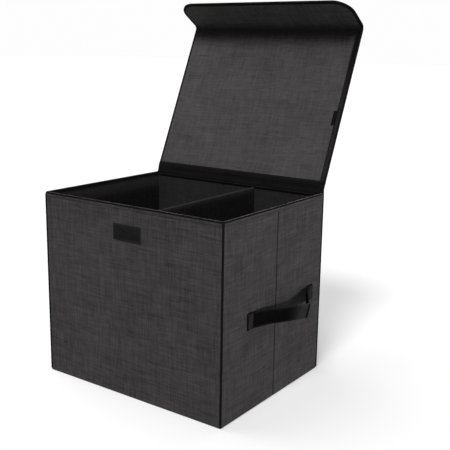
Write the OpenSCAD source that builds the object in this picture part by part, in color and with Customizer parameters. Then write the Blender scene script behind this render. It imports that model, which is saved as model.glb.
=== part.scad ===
// Folding case for twelve-inch records: cloth over stiff boards, with a lid, a
// closing flap, two carrying straps, a lift-out base board and a lift-out divider.
// Millimetres. The origin is the middle of the underside, +X is to the right seen
// from the front, +Y is towards the hinge side and +Z is up.

/* [Case] */
// Width of the case over its cloth, left to right
case_w = 410; // [380:1:450]
// Depth of the case over its cloth, front to back
case_d = 328; // [322:1:360]
// Height of the rim above the floor
case_h = 356; // [342:1:400]

/* [Boards and cloth] */
// Thickness of the stiff board in the walls, lid, flap, base and divider
board_t = 3; // [2:0.5:4]
// Thickness of the outer cloth
cover_t = 0.8; // [0.5:0.1:1.2]
// Thickness of the inner cloth
lining_t = 0.6; // [0.4:0.1:1]
// Width of the upright strip without board, down the middle of each side
fold_gap = 5; // [3:0.5:8]
// Width of the pressed crease in the cloth of each side
crease_w = 2.4; // [1.5:0.1:3]
// Depth of that pressed crease
crease_depth = 0.4; // [0.2:0.1:0.4]

/* [Binding and piping] */
// Thickness of the binding tape
tape_t = 0.5; // [0.3:0.1:0.8]
// Width of the binding tape on each face of an edge
tape_w = 9; // [6:0.5:12]
// Radius of the tape over the rim
tape_r = 1.2; // [0.6:0.1:1.5]
// Diameter of the piping in the four upright corners
piping_d = 4; // [3:0.25:5]
// How far the piping stands out from the cloth
piping_proud = 0.8; // [0.4:0.1:1.2]
// Room between the piping and the edges of the boards
piping_room = 0.8; // [0.4:0.1:1.5]

/* [Lid and flap] */
// Angle from closed at which the lid stands open
lid_open = 114; // [95:1:125]
// Bend of the flap from the plane of the lid
flap_bend = 82; // [20:1:90]
// Length of the flap from its crease
flap_l = 82; // [78:1:100]
// Radius of the two free corners of the flap
flap_r = 38; // [24:1:60]
// Length of bare cloth between the lid hinge and the boards of the lid
hinge_gap = 6; // [5:0.5:9]
// Length of bare cloth on each side of the flap crease
flap_gap = 5; // [3:0.5:8]
// Height of the closed lid's tape above the rim
lid_clear = 0.3; // [0.2:0.1:1]

/* [Closure patches and tag] */
// Width of the two closure patches
patch_w = 65; // [40:1:90]
// Height of the two closure patches
patch_h = 30; // [20:1:34]
// Distance from the rim down to the front patch
patch_drop = 35; // [25:1:36]
// Corner radius of the patches
patch_r = 2.5; // [1:0.5:4]
// Thickness of the looped patch on the front
loop_t = 1.6; // [1:0.1:2]
// Thickness of the hooked patch on the flap
hook_t = 1.4; // [1:0.1:2]
// Gap between the two patches when the case is closed
closure_clear = 0.3; // [0.2:0.1:0.6]
// Length of the bare edge tag on the lid
tag_l = 30; // [15:1:50]
// Width of that tag
tag_w = 8; // [4:0.5:12]
// Thickness of that tag
tag_t = 0.4; // [0.3:0.1:0.5]
// Distance from the lid hinge to the middle of the tag
tag_at = 142; // [60:1:250]

/* [Carrying straps] */
// Distance from the front face to the front end of a handle
handle_front = 72; // [40:1:90]
// Length of a handle over both stitched ends
handle_l = 222; // [180:1:225]
// Height of the middle of the straps above the floor
handle_z = 168; // [100:1:260]
// Width of the strap
strap_w = 27; // [20:1:35]
// Thickness of the strap
strap_t = 2.4; // [1.8:0.1:3.5]
// Distance from the front end of a handle to the fold in its strap
strap_peak = 138; // [100:1:150]
// How far the fold in the strap stands out from the wall
strap_bow = 40; // [30:1:50]
// Radius of the bends in the strap
strap_r = 9; // [5:0.5:15]
// Length of the stitched tab on each end of a strap
tab_l = 17; // [12:0.5:22]
// Thickness of that tab
tab_t = 1.2; // [0.8:0.1:2]
// How far the tab reaches past the strap, above and below
tab_over = 2; // [0:0.5:4]
// Swing of the strap up and down from level, in degrees
strap_swing = 50; // [20:5:55]
// Distance from the wall to the line that the strap swings about
strap_axis = 8; // [6:0.5:10]

/* [Base board and divider] */
// Clear width of the left bay, from the lining to the divider
left_bay_w = 246; // [120:1:280]
// Distance from the rim down to the top of the divider
divider_drop = 7; // [3:1:40]
// Room all round the base board, and at the ends of the divider
board_room = 1; // [0.5:0.1:3]
// Width of the cloth that is turned under the base board
turn_under = 22; // [10:1:50]
// Room under the base board and under the divider
rest_clear = 0.2; // [0.1:0.1:0.3]

/* [Hidden] */

$fn = 48;
// Overlap of a cutting solid past the face that it cuts
past = 1;
// Number of flats in one bend of a strip, and in the bend round the crease
bend_steps = 8;
// Gap between two moving lengths of cloth that are one length on the real case
cloth_split = 0.3;

// Walls: cloth, board and lining, with the rim tape over their top edge
wall_t = cover_t + board_t + lining_t;
wall_top = case_h - tape_t;
half_w = case_w / 2;
half_d = case_d / 2;
piping_in = piping_d / 2 - piping_proud;
board_end = piping_d - piping_proud + piping_room;
rim_t = wall_t + 2 * tape_t;

// Lid: its hinge line lies on the outer face of its cloth, its crease on the inner
lid_w = case_w - 2 * tape_t;
lid_t = wall_t;
hinge_z = case_h + lid_clear + tape_t + lid_t;
closure_room = loop_t + hook_t + closure_clear;
lid_l = case_d + closure_room;
patch_at = lid_clear + tape_t + patch_drop + patch_h / 2;

// Handles: the strap leaves each end at the tab, bows out and folds once
tab_end = tab_l + strap_t;
strap_path = [
    [strap_t / 2, 0], [strap_t / 2, tab_end], [strap_bow, strap_peak],
    [strap_t / 2, handle_l - tab_end], [strap_t / 2, handle_l]
];
swing_room = 0.5;
free_out = strap_axis
    + (strap_w / 2 * sin(strap_swing) - strap_axis + swing_room) / cos(strap_swing);
front_cut = cut_along(strap_path[1], strap_path[2]);
rear_cut = cut_along(strap_path[3], strap_path[2]);

// Base board and divider
floor_z = cover_t + lining_t;
base_low = floor_z + rest_clear;
base_t = board_t + 2 * lining_t;
divider_low = base_low + base_t + rest_clear;
divider_top = case_h - divider_drop;
divider_t = board_t + 2 * lining_t;
divider_x = left_bay_w + wall_t - half_w + divider_t / 2;
inner_half_w = half_w - wall_t;
inner_half_d = half_d - wall_t;

cloth = [0.2, 0.19, 0.19];
inner_cloth = [0.16, 0.15, 0.15];
binding_black = [0.05, 0.05, 0.05];
strap_black = [0.08, 0.08, 0.08];
greyboard = [0.45, 0.42, 0.38];

// Where along the wall the strap's inner face, between anchor a and fold b, is far
// enough out to swing without meeting the wall
function cut_along(a, b) =
    let (slope = abs((b[0] - a[0]) / (b[1] - a[1])))
    a[1] + sign(b[1] - a[1])
        * (free_out - strap_t / 2 + strap_t / 2 * sqrt(1 + slope * slope)) / slope;

// The direction from one point to another, and a unit step in a direction
function bearing(a, b) = atan2(b[1] - a[1], b[0] - a[0]);
function step(angle) = [cos(angle), sin(angle)];
function turn_at(p, i) =
    let (turn = bearing(p[i], p[i + 1]) - bearing(p[i - 1], p[i]))
    turn > 180 ? turn - 360 : turn < -180 ? turn + 360 : turn;

// A point of the closed lid, measured from the hinge line, where it lies at rest
function opened(y, z) = [
    y * cos(lid_open) + z * sin(lid_open), z * cos(lid_open) - y * sin(lid_open)
];

module block(low, high) {
    translate(low) cube(high - low);
}

// One edge of a strip that follows straight runs with round bends of radius r. The
// edge lies a distance away to the left of the path's middle line
function edge_bend(p, i, r, away) =
    let (heading = bearing(p[i - 1], p[i]), turn = turn_at(p, i), side = sign(turn),
         centre = p[i] - r * tan(abs(turn) / 2) * step(heading)
             + side * r * step(heading + 90))
    [for (k = [0 : bend_steps])
        centre + (r - side * away) * step(heading - side * 90 + turn * k / bend_steps)];
function edge_of(p, r, away) =
    let (end = len(p) - 1)
    concat(
        [p[0] + away * step(bearing(p[0], p[1]) + 90)],
        [for (i = [1 : end - 1]) each edge_bend(p, i, r, away)],
        [p[end] + away * step(bearing(p[end - 1], p[end]) + 90)]
    );
function backwards(list) = [for (i = [len(list) - 1 : -1 : 0]) list[i]];

module strip(points, t, r) {
    polygon(concat(edge_of(points, r, t / 2), backwards(edge_of(points, r, -t / 2))));
}

module rounded_plate(w, h, t, r) {
    linear_extrude(t) {
        square([w - 2 * r, h], center = true);
        square([w, h - 2 * r], center = true);
        for (x = [-1, 1], y = [-1, 1])
            translate([x * (w / 2 - r), y * (h / 2 - r)]) circle(r);
    }
}

// The upright corners, where x and y are -1 or 1
module piping(x, y, stretch = 0) {
    translate([x * (half_w - piping_in), y * (half_d - piping_in), cover_t - stretch])
        cylinder(h = case_h - tape_w - cover_t + 2 * stretch, d = piping_d);
}

module all_piping() {
    for (x = [-1, 1], y = [-1, 1]) piping(x, y, tape_w + past);
}

// A board in the front wall (y = -1) or in the back wall (y = 1)
module end_board(y) {
    color(greyboard)
        translate([0, y * (half_d - cover_t - board_t / 2), (cover_t + wall_top) / 2])
            cube([case_w - 2 * board_end, board_t, wall_top - cover_t], center = true);
}

// Half of a side wall's board: x is its side, y is -1 in front of the fold
module side_board(x, y) {
    long = half_d - board_end - fold_gap / 2;
    color(greyboard)
        translate([
            x * (half_w - cover_t - board_t / 2), y * (fold_gap / 2 + long / 2),
            (cover_t + wall_top) / 2
        ])
            cube([board_t, long, wall_top - cover_t], center = true);
}

module end_cover(y) {
    color(cloth) difference() {
        translate([0, y * (half_d - cover_t / 2), (cover_t + wall_top) / 2])
            cube([case_w - 2 * piping_in, cover_t, wall_top - cover_t], center = true);
        all_piping();
    }
}

module side_cover(x) {
    color(cloth) difference() {
        translate([x * (half_w - cover_t / 2), 0, (cover_t + wall_top) / 2])
            cube([cover_t, case_d - 2 * piping_in, wall_top - cover_t], center = true);
        all_piping();
        mirror([x < 0 ? 1 : 0, 0, 0]) translate([half_w, 0, -past])
            linear_extrude(case_h + 2 * past) polygon([
                [past, -crease_w / 2], [0, -crease_w / 2], [-crease_depth, 0],
                [0, crease_w / 2], [past, crease_w / 2]
            ]);
    }
}

module base_cover() {
    color(cloth) block([-half_w, -half_d, 0], [half_w, half_d, cover_t]);
}

module lining() {
    outer = [half_w - cover_t - board_t, half_d - cover_t - board_t];
    color(inner_cloth) difference() {
        block([-outer[0], -outer[1], cover_t], [outer[0], outer[1], wall_top]);
        block([-inner_half_w, -inner_half_d, floor_z],
              [inner_half_w, inner_half_d, case_h + past]);
    }
}

// The tape over the rim, cut through: two legs and a rounded top
module rim_section() {
    difference() {
        union() {
            square([rim_t, tape_w - tape_r]);
            translate([tape_r, 0]) square([rim_t - 2 * tape_r, tape_w]);
            for (x = [tape_r, rim_t - tape_r]) translate([x, tape_w - tape_r]) circle(tape_r);
        }
        translate([tape_t, -past]) square([wall_t, tape_w - tape_t + past]);
    }
}

// One straight run of the rim tape, with its ends mitred
module rim_run(long, away) {
    translate([0, 0, case_h - tape_w]) intersection() {
        translate([-long / 2, -away, 0]) rotate([90, 0, 90]) linear_extrude(long)
            rim_section();
        linear_extrude(tape_w) polygon([
            [-long / 2, -away], [long / 2, -away],
            [long / 2 - rim_t, rim_t - away], [rim_t - long / 2, rim_t - away]
        ]);
    }
}

module rim_binding() {
    wide = case_w + 2 * tape_t;
    deep = case_d + 2 * tape_t;
    color(binding_black) {
        for (turn = [0, 180]) rotate([0, 0, turn]) rim_run(wide, deep / 2);
        for (turn = [90, 270]) rotate([0, 0, turn]) rim_run(deep, wide / 2);
    }
}

module front_closure_patch() {
    color(binding_black)
        translate([0, -half_d, case_h - patch_drop - patch_h / 2]) rotate([90, 0, 0])
            rounded_plate(patch_w, patch_h, loop_t, patch_r);
}

// Everything on a handle is drawn for the right side: x out of the wall, y along it
module on_side(x) {
    mirror([x < 0 ? 1 : 0, 0, 0]) translate([half_w, handle_front - half_d, handle_z])
        children();
}

module strap_between(low, high) {
    linear_extrude(strap_w, center = true) intersection() {
        strip(strap_path, strap_t, strap_r);
        translate([-strap_bow, low]) square([3 * strap_bow, high - low]);
    }
}

module handle_strap(x) {
    color(strap_black) on_side(x)
        strap_between(front_cut + cloth_split, rear_cut - cloth_split);
}

module strap_ends(x) {
    color(strap_black) on_side(x) {
        strap_between(0, front_cut);
        strap_between(rear_cut, handle_l);
    }
}

module strap_tab(x, along) {
    color(strap_black) on_side(x)
        translate([strap_t, along + tab_l / 2, 0]) rotate([90, 0, 90])
            rounded_plate(tab_l, strap_w + 2 * tab_over, tab_t, tab_over + past);
}

module base_board() {
    half = [inner_half_w - board_room - lining_t, inner_half_d - board_room - lining_t];
    color(greyboard)
        block([-half[0], -half[1], base_low + lining_t],
              [half[0], half[1], base_low + lining_t + board_t]);
}

// Cloth over the top and edges of the base board, turned under and left open below
module base_board_cover() {
    half = [inner_half_w - board_room, inner_half_d - board_room];
    color(inner_cloth) difference() {
        block([-half[0], -half[1], base_low], [half[0], half[1], base_low + base_t]);
        base_board();
        block([turn_under - half[0], turn_under - half[1], base_low - past],
              [half[0] - turn_under, half[1] - turn_under, base_low + lining_t + past]);
    }
}

module divider_board(below = 0) {
    half_l = inner_half_d - board_room - lining_t;
    color(greyboard)
        block([divider_x - board_t / 2, -half_l, divider_low - below],
              [divider_x + board_t / 2, half_l, divider_top - lining_t]);
}

// A cloth sleeve over the divider, open along the bottom
module divider_cover() {
    half_l = inner_half_d - board_room;
    color(inner_cloth) difference() {
        block([divider_x - divider_t / 2, -half_l, divider_low],
              [divider_x + divider_t / 2, half_l, divider_top]);
        divider_board(past);
    }
}

// Pieces of the lid lie inner face down, with the hinge line at y = 0, z = lid_t
module on_lid() {
    translate([0, half_d, hinge_z]) rotate([-lid_open, 0, 0]) translate([0, 0, -lid_t])
        children();
}

// Pieces of the flap lie inner face down, with the crease along y = 0, z = 0
module on_flap() {
    on_lid() translate([0, -lid_l, 0]) rotate([flap_bend, 0, 0]) children();
}

module lid_layer(low, high) {
    on_lid() block([-lid_w / 2, flap_gap - lid_l, low], [lid_w / 2, -hinge_gap, high]);
}

module lid_board() {
    color(greyboard) lid_layer(lining_t, lining_t + board_t);
}

module lid_cover() {
    color(cloth) lid_layer(lid_t - cover_t, lid_t);
}

module lid_lining() {
    color(cloth) lid_layer(0, lining_t);
}

module lid_binding() {
    color(binding_black) on_lid() for (x = [-1, 1]) difference() {
        translate([x * (lid_w / 2 + tape_t - tape_w / 2), (flap_gap - lid_l - hinge_gap) / 2,
                   lid_t / 2])
            cube([tape_w, lid_l - flap_gap - hinge_gap, lid_t + 2 * tape_t], center = true);
        block([-lid_w / 2, -lid_l, 0], [lid_w / 2, 0, lid_t]);
    }
}

module lid_tag() {
    right = lid_w / 2 + tape_t - tape_w;
    color(binding_black) on_lid()
        block([right - tag_w, -tag_at - tag_l / 2, -tag_t], [right, tag_l / 2 - tag_at, 0]);
}

// The cloth across the hinge, from the rim to the lid
module lid_hinge_cloth() {
    skin = cover_t / 2;
    color(cloth) translate([-lid_w / 2, half_d, hinge_z]) rotate([90, 0, 90])
        linear_extrude(lid_w)
            strip([[-skin, case_h - hinge_z], [-skin, 0],
                   opened(cloth_split - hinge_gap, -skin)], cover_t, cover_t);
}

// The cloth that bends round the crease, between the lid's boards and the flap's
module flap_crease_cloth() {
    // The crease line is at the origin here, seen from the right
    flap_end = [cloth_split - flap_gap, lid_t];
    color(cloth) on_lid() translate([-half_w, -lid_l, 0]) rotate([90, 0, 90])
        linear_extrude(case_w) polygon(concat(
            [[0, 0], [flap_gap, 0], [flap_gap, lid_t]],
            [for (k = [0 : bend_steps]) lid_t * step(90 + flap_bend * k / bend_steps)],
            [flap_end[0] * step(flap_bend) + flap_end[1] * step(flap_bend + 90),
             flap_end[0] * step(flap_bend)]
        ));
}

// The flap seen flat: square at the crease, round at its two free corners. It starts
// some way from the crease, and grow is what is added at each side and at the end
module flap_outline(grow = 0, start = flap_gap) {
    wide = lid_w + 2 * grow;
    long = flap_l + grow;
    r = flap_r + grow;
    translate([-wide / 2, r - long]) square([wide, long - r - start]);
    translate([r - wide / 2, -long]) square([wide - 2 * r, r]);
    for (x = [-1, 1]) translate([x * (wide / 2 - r), r - long]) circle(r);
}

module flap_layer(low, high) {
    on_flap() translate([0, 0, low]) linear_extrude(high - low) flap_outline();
}

module flap_board() {
    color(greyboard) flap_layer(lining_t, lining_t + board_t);
}

module flap_cover() {
    color(cloth) flap_layer(lid_t - cover_t, lid_t);
}

module flap_lining() {
    color(cloth) flap_layer(0, lining_t);
}

module flap_binding() {
    thick = lid_t + 2 * tape_t;
    color(binding_black) on_flap() difference() {
        translate([0, 0, -tape_t]) linear_extrude(thick) flap_outline(tape_t);
        linear_extrude(lid_t) flap_outline(0, flap_gap - past);
        translate([0, 0, -thick]) linear_extrude(3 * thick)
            flap_outline(tape_t - tape_w, flap_gap - past);
    }
}

module flap_closure_patch() {
    color(binding_black) on_flap() translate([0, -patch_at, -hook_t])
        rounded_plate(patch_w, patch_h, hook_t, patch_r);
}

end_board(-1);  // front_board
end_board(1);  // back_board
side_board(-1, -1);  // left_front_board
side_board(-1, 1);  // left_rear_board
side_board(1, -1);  // right_front_board
side_board(1, 1);  // right_rear_board
end_cover(-1);  // front_cover
end_cover(1);  // back_cover
side_cover(-1);  // left_cover
side_cover(1);  // right_cover
base_cover();
lining();
rim_binding();
color(binding_black) piping(-1, -1);  // front_left_piping
color(binding_black) piping(1, -1);  // front_right_piping
color(binding_black) piping(-1, 1);  // rear_left_piping
color(binding_black) piping(1, 1);  // rear_right_piping
front_closure_patch();
strap_tab(-1, 0);  // left_front_tab
strap_tab(-1, handle_l - tab_l);  // left_rear_tab
strap_ends(-1);  // left_strap_ends
strap_tab(1, 0);  // right_front_tab
strap_tab(1, handle_l - tab_l);  // right_rear_tab
strap_ends(1);  // right_strap_ends
handle_strap(-1);  // left_strap
handle_strap(1);  // right_strap
base_board();
base_board_cover();
divider_board();
divider_cover();
lid_hinge_cloth();
lid_board();
lid_cover();
lid_lining();
lid_binding();
lid_tag();
flap_crease_cloth();
flap_board();
flap_cover();
flap_lining();
flap_binding();
flap_closure_patch();
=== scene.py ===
import math
import random

import bmesh
import bpy
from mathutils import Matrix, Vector, noise


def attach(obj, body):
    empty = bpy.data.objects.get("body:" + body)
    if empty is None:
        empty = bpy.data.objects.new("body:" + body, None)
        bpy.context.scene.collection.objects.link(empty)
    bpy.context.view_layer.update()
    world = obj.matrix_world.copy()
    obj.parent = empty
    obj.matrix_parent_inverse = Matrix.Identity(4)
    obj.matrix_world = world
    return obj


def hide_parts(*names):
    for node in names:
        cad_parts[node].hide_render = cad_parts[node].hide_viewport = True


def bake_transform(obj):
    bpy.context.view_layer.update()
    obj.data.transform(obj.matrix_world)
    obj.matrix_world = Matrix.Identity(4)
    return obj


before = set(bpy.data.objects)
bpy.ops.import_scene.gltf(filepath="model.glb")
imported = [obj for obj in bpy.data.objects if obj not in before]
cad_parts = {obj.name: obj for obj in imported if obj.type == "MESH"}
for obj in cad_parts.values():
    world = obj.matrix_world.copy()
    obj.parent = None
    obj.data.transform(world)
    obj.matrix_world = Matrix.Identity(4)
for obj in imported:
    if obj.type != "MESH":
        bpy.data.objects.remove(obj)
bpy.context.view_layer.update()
mm = 0.001


# finishes: each is made once and shared by the pieces that use it

class Wire:  # one shader socket, so that a plain sum adds its own Math nodes
    def __init__(self, finish, socket):
        self.finish = finish
        self.socket = socket

    def sum(self, operation, *values):
        return self.finish.node("ShaderNodeMath", {"operation": operation}, dict(enumerate(values)))

    def __add__(self, other):
        return self.sum("ADD", self, other)

    def __radd__(self, other):
        return self.sum("ADD", other, self)

    def __sub__(self, other):
        return self.sum("SUBTRACT", self, other)

    def __rsub__(self, other):
        return self.sum("SUBTRACT", other, self)

    def __mul__(self, other):
        return self.sum("MULTIPLY", self, other)

    def __truediv__(self, other):
        return self.sum("DIVIDE", self, other)

    def floor(self):
        return self.sum("FLOOR", self)

    def ridge(self):  # a rounded thread for every whole number
        return self.sum("ABSOLUTE", self.sum("SINE", self * math.pi))

    def within(self, low, high):
        return self.sum("MINIMUM", self.sum("MAXIMUM", self, low), high)


class Finish:  # the nodes of one material, or of the world
    def __init__(self, owner):
        self.owner = owner
        owner.use_nodes = True
        self.nodes, self.links = owner.node_tree.nodes, owner.node_tree.links
        self.nodes.clear()

    def node(self, kind, settings=None, sockets=None, out=0):
        made = self.nodes.new(kind)
        for key, value in (settings or {}).items():
            setattr(made, key, value)
        for key, value in (sockets or {}).items():
            if isinstance(value, Wire):
                self.links.new(value.socket, made.inputs[key])
            else:
                made.inputs[key].default_value = value
        return Wire(self, made.outputs[out])

    def clothMarks(self):  # the place on the cloth, and its wear there, with painted shade and painted highlight on some pieces
        return [self.node("ShaderNodeAttribute", {"attribute_name": name}, out=out)
                for name, out in (("weave", "Vector"), ("wearAndPaintedShading", "Fac"))]

    def acrossAndUp(self, cloth):
        return [self.node("ShaderNodeSeparateXYZ", None, {0: cloth}, out=k) for k in range(2)]

    def stretched(self, cloth, sizes, seed, detail=2):  # noise as long and as wide as sizes, centred on 0
        scaled = self.node("ShaderNodeVectorMath", {"operation": "MULTIPLY"},
                           {0: cloth, 1: [1 / (size * mm) for size in sizes]})
        moved = self.node("ShaderNodeVectorMath", {"operation": "ADD"},
                          {0: scaled, 1: (seed * 3.7, seed * 1.3, seed * 5.1)})
        return self.node("ShaderNodeTexNoise", None,
                         {"Vector": moved, "Scale": 1, "Detail": detail, "Roughness": 0.55}) - 0.5

    def blend(self, factor, low, high):  # low and high are sockets or plain colours
        low, high = [end if isinstance(end, Wire) else (*end, 1) for end in (low, high)]
        return self.node("ShaderNodeMix", {"data_type": "RGBA"}, {0: factor, 6: low, 7: high}, out=2)

    def shades(self, factor, look, low, high):  # from one share of the look's colour to another
        return self.blend(factor.within(0, 1), times(look["colour"], low), times(look["colour"], high))

    # paler where the channel is above zero: real wear, and a painted highlight on some pieces
    def dustedAndHighlighted(self, colour, wearAndHighlight, look):
        return self.blend(wearAndHighlight.within(0, 1) * look["rubAndHighlight"], colour, look["dustAndHighlight"])

    def finishOff(self, colour, roughness, height, look):
        bump = self.node("ShaderNodeBump", None, {"Height": height, "Strength": look["bump"],
                                                  "Distance": look["relief"] * mm})
        shader = self.node("ShaderNodeBsdfPrincipled", None, {
            "Base Color": colour, "Roughness": roughness, "Normal": bump,
            "Specular IOR Level": look["gloss"], "Sheen Weight": look["sheen"],
            "Sheen Roughness": 0.6})
        return self.shown(shader)

    def shown(self, shader, kind="Material"):
        output = self.nodes.new("ShaderNodeOutput" + kind)
        self.links.new(shader.socket, output.inputs[0])
        return self.owner


def times(colour, share):
    return [channel * share for channel in colour]


def linenFinish(name, look):  # crossed threads of uneven thickness
    f = Finish(bpy.data.materials.new(name))
    cloth, wearAndPaintedShading = f.clothMarks()
    across, up = [side / (look["thread"] * mm) for side in f.acrossAndUp(cloth)]
    over = f.node("ShaderNodeMath", {"operation": "FLOORED_MODULO"}, {0: across.floor() + up.floor(), 1: 2})
    thick, long = look["slub"]

    def bothWays(wide, far, seed, detail):  # noise drawn out up the cloth, and the same across it
        return [f.stretched(cloth, (*sizes, 40), seed + k, detail)
                for k, sizes in enumerate(((wide, far), (far, wide)))]

    slubs = zip(bothWays(thick, long, 1, 1), bothWays(thick * 2.3, long * 1.7, 14, 0))
    warp, weft = [fine + coarse * 0.5 for fine, coarse in slubs]
    hairUp, hairAcross = bothWays(thick * 0.4, long * 0.3, 3, 2)
    hair = hairUp + hairAcross
    broad = f.stretched(cloth, (70, 90, 60), 5)
    threads = across.ridge() * (1 - over) + up.ridge() * over
    streak = (warp * (1.25 - over * 0.5) + weft * (0.75 + over * 0.5)) * look["contrast"]
    colour = f.shades(0.42 + streak + hair * 0.4 + broad * 0.2 + (threads - 0.6) * 0.3, look, 0.45, 1.8)
    colour = f.dustedAndHighlighted(colour, wearAndPaintedShading * (0.75 + broad * 1.2 + hair), look)
    folded = (wearAndPaintedShading * -1).within(0, 1)  # below zero the channel holds painted shade: creases and folds are painted darker where shade falls
    colour = f.blend(folded * look["fold"], colour, times(look["colour"], 0.25))
    height = threads * 0.55 + (warp + weft) * 1.1 + hair * 0.5
    return f.finishOff(colour, (0.9 - threads * 0.12).within(0.5, 1), height, look)


def tapeFinish(name, look):  # ribs across a narrow woven tape
    f = Finish(bpy.data.materials.new(name))
    cloth, wearAndPaintedShading = f.clothMarks()
    across, up = f.acrossAndUp(cloth)
    rib = ((across + up * look["slant"]) / (look["rib"] * mm)).ridge()
    grain = f.stretched(cloth, (1.2, 6, 6), 6, 3)
    broad = f.stretched(cloth, (30, 14, 14), 7)
    colour = f.shades(0.4 + (rib - 0.6) * 0.5 + grain * 1.3 + broad * 0.6, look, 0.5, 1.7)
    colour = f.dustedAndHighlighted(colour, wearAndPaintedShading * (0.8 + grain * 1.5 + broad), look)
    return f.finishOff(colour, (look["rough"] + grain * 0.2 - rib * 0.08).within(0.4, 1),
                       rib * 0.7 + grain * 0.8, look)


def pileFinish(name, look):  # short dense loops
    f = Finish(bpy.data.materials.new(name))
    cloth, wearAndPaintedShading = f.clothMarks()
    loops = f.stretched(cloth, (0.8, 0.8, 0.8), 8, 4)
    rows = f.stretched(cloth, (9, 1.3, 4), 9)
    brushed = f.stretched(cloth, (16, 11, 9), 10)
    colour = f.shades(0.45 + loops * 1.6 + rows * 0.8 + brushed * 0.7, look, 0.4, 1.8)
    colour = f.dustedAndHighlighted(colour, wearAndPaintedShading * (0.8 + loops), look)
    return f.finishOff(colour, (0.93 + loops * 0.15).within(0.6, 1), loops * 1.6 + rows * 0.6, look)


def boardFinish(name, look):  # raw pressed board
    f = Finish(bpy.data.materials.new(name))
    place = f.node("ShaderNodeTexCoord", out="Object")
    fibres = f.stretched(place, (1.5, 7, 3), 11, 4)
    flecks = f.stretched(place, (0.7, 0.7, 0.9), 12)
    clouds = f.stretched(place, (50, 70, 60), 13)
    colour = f.shades(0.5 + fibres * 1.1 + flecks * 0.9 + clouds * 0.5, look, 0.62, 1.25)
    return f.finishOff(colour, (0.88 + flecks * 0.2).within(0.5, 1), fibres + flecks, look)


finishes = {
    "linen": linenFinish("linen cloth", {
        # fold: how far painted shade darkens creases and folds
        "colour": (0.048, 0.0455, 0.0458), "thread": 1.3, "slub": (2.0, 30), "contrast": 0.66, "fold": 0.78,
        "rubAndHighlight": 0.5, "dustAndHighlight": (0.1, 0.096, 0.094), "bump": 0.5, "relief": 0.45, "gloss": 0.05, "sheen": 0.01}),
    "lining": linenFinish("lining cloth", {
        "colour": (0.022, 0.0212, 0.022), "thread": 0.9, "slub": (1.3, 14), "contrast": 0.6, "fold": 0,
        "rubAndHighlight": 0.2, "dustAndHighlight": (0.07, 0.068, 0.068), "bump": 0.4, "relief": 0.3, "gloss": 0.06, "sheen": 0.01}),
    "binding": tapeFinish("binding tape", {
        "colour": (0.006, 0.0058, 0.006), "rib": 0.9, "slant": 0, "rough": 0.86, "rubAndHighlight": 0.6,
        "dustAndHighlight": (0.05, 0.049, 0.049), "bump": 0.5, "relief": 0.3, "gloss": 0.03, "sheen": 0}),
    "strap": tapeFinish("strap cloth", {
        "colour": (0.003, 0.0029, 0.003), "rib": 1.1, "slant": 0.6, "rough": 0.9, "rubAndHighlight": 0.6,
        "dustAndHighlight": (0.05, 0.049, 0.049), "bump": 0.5, "relief": 0.35, "gloss": 0.015, "sheen": 0}),
    "pile": pileFinish("closure pile", {
        "colour": (0.0115, 0.011, 0.0117), "rubAndHighlight": 0.5, "dustAndHighlight": (0.05, 0.048, 0.049),
        "bump": 0.6, "relief": 0.4, "gloss": 0.04, "sheen": 0}),
    "hooks": pileFinish("closure hooks", {  # dyed like the cloth it is sewn on, and as pale as that cloth with its painted light
        "colour": (0.057, 0.054, 0.0544), "rubAndHighlight": 0.2, "dustAndHighlight": (0.1, 0.096, 0.094),
        "bump": 0.6, "relief": 0.4, "gloss": 0.04, "sheen": 0}),
    "thread": tapeFinish("sewing thread", {
        "colour": (0.024, 0.0236, 0.024), "rib": 0.5, "slant": 0.8, "rough": 0.6, "rubAndHighlight": 0.6,
        "dustAndHighlight": (0.11, 0.108, 0.108), "bump": 0.4, "relief": 0.1, "gloss": 0.12, "sheen": 0}),
    "board": boardFinish("pressed board", {
        "colour": (0.45, 0.42, 0.38), "bump": 0.35, "relief": 0.2, "gloss": 0.25, "sheen": 0}),
}
for name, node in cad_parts.items():
    if name.endswith("_board"):
        node.data.materials.clear()
        node.data.materials.append(finishes["board"])
print("finishes:", ", ".join(finishes))


# mesh helpers; lengths are in millimetres until a piece is made

def smooth(low, high, value):
    t = min(1, max(0, (value - low) / (high - low)))
    return t * t * (3 - 2 * t)


def fade(distance, width):  # 1 at an edge, 0 from width on
    return 1 - smooth(0, width, distance)


def dent(distance, width):
    return math.exp(-(distance / width) ** 2)


def wobble(u, v, size, seed):
    return noise.noise(Vector((u / size, v / size, seed * 7.31)))


leastGap = 0.05  # between two marks
turnMarks = (0.4, 0.9, 1.5, 2.3, 3.4, 5, 7.5)  # distances from where a form turns


def spread(low, high, step, fineAt=(), fine=turnMarks):  # marks, closer together where a form turns
    count = max(1, round((high - low) / step))
    marks = [low + (high - low) * k / count for k in range(count + 1)]
    marks = [m for m in marks if all(abs(m - at) > fine[-1] + 0.45 * step for at in fineAt)]
    for at in fineAt:
        marks += [at + side * d for d in (0, *fine) for side in (-1, 1)]
    kept = [low]
    for m in sorted(marks):
        if kept[-1] + leastGap < m < high - leastGap:
            kept.append(m)
    return kept + [high]


def edgeToEdge(half, step, fine=turnMarks):
    return spread(-half, half, step, (-half, half), fine)


def crossed(us, vs):
    return [[(u, v) for u in us] for v in vs]


def lengthsAlong(spots):
    lengths = [0]
    for before, spot in zip(spots, spots[1:]):
        lengths.append(lengths[-1] + math.dist(before, spot))
    return lengths


def spanAt(lengths, goal):  # the span that goal lies on, by its end, and how far along it
    k = next((k for k in range(1, len(lengths)) if lengths[k] >= goal - 1e-9), len(lengths) - 1)
    return k, (goal - lengths[k - 1]) / max(1e-9, lengths[k] - lengths[k - 1])


def turned(degrees):  # cosine and sine
    return math.cos(math.radians(degrees)), math.sin(math.radians(degrees))


def boxSides(x, y):  # each side of a rectangle by its two ends
    ring = [(-x, -y), (x, -y), (x, y), (-x, y)]
    return [(ring[k], ring[(k + 1) % 4]) for k in range(4)]


def marksBetween(start, end, count):
    return [[a + (b - a) * t / count for a, b in zip(start, end)] for t in range(count + 1)]


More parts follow.
